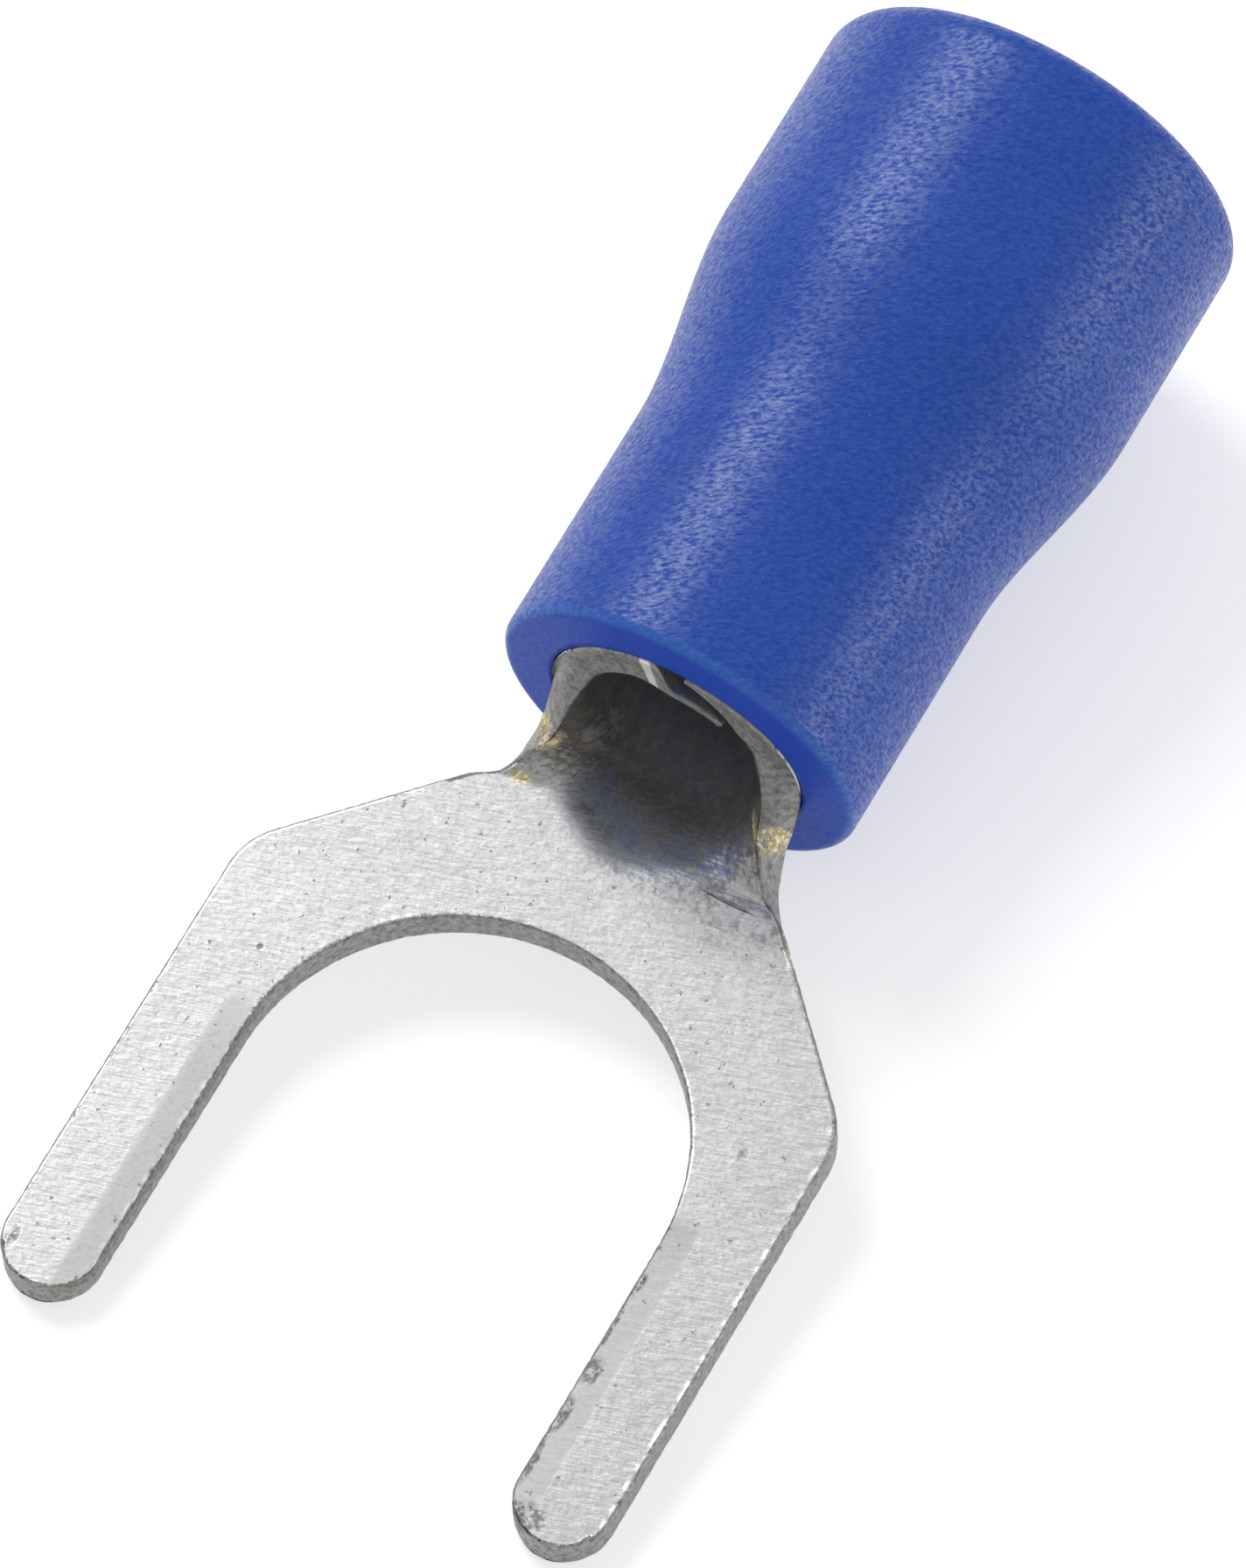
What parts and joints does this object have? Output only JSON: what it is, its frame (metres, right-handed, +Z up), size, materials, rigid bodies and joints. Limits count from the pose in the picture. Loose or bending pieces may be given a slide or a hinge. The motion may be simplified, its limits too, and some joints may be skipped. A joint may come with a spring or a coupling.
{
  "type": "insulated fork terminal",
  "caption": "Flat open-ended fork with a rolled crimp barrel in a flared blue insulating sleeve; clamps a wire end under a stud's nut or a screw head.",
  "frame": {"origin": "on the underside of the flat tongue, on its centreline, in the middle of the web between the slot and the formed neck", "axes": "+X along the barrel towards the wire entry, +Z up out of the tongue's upper face, +Y across the fork; the slot opens towards -X"},
  "size_m": [0.021, 0.0092, 0.0064],
  "materials": {
    "tin_plated_brass": "satin tin plating over brass sheet, finely scratched",
    "blue_pvc": "semi-matt moulded PVC with a fine wrinkled grain"
  },
  "bodies": {
    "root": {"terminal_body": "tin_plated_brass", "insulation_sleeve": "blue_pvc"}
  },
  "joints": []
}
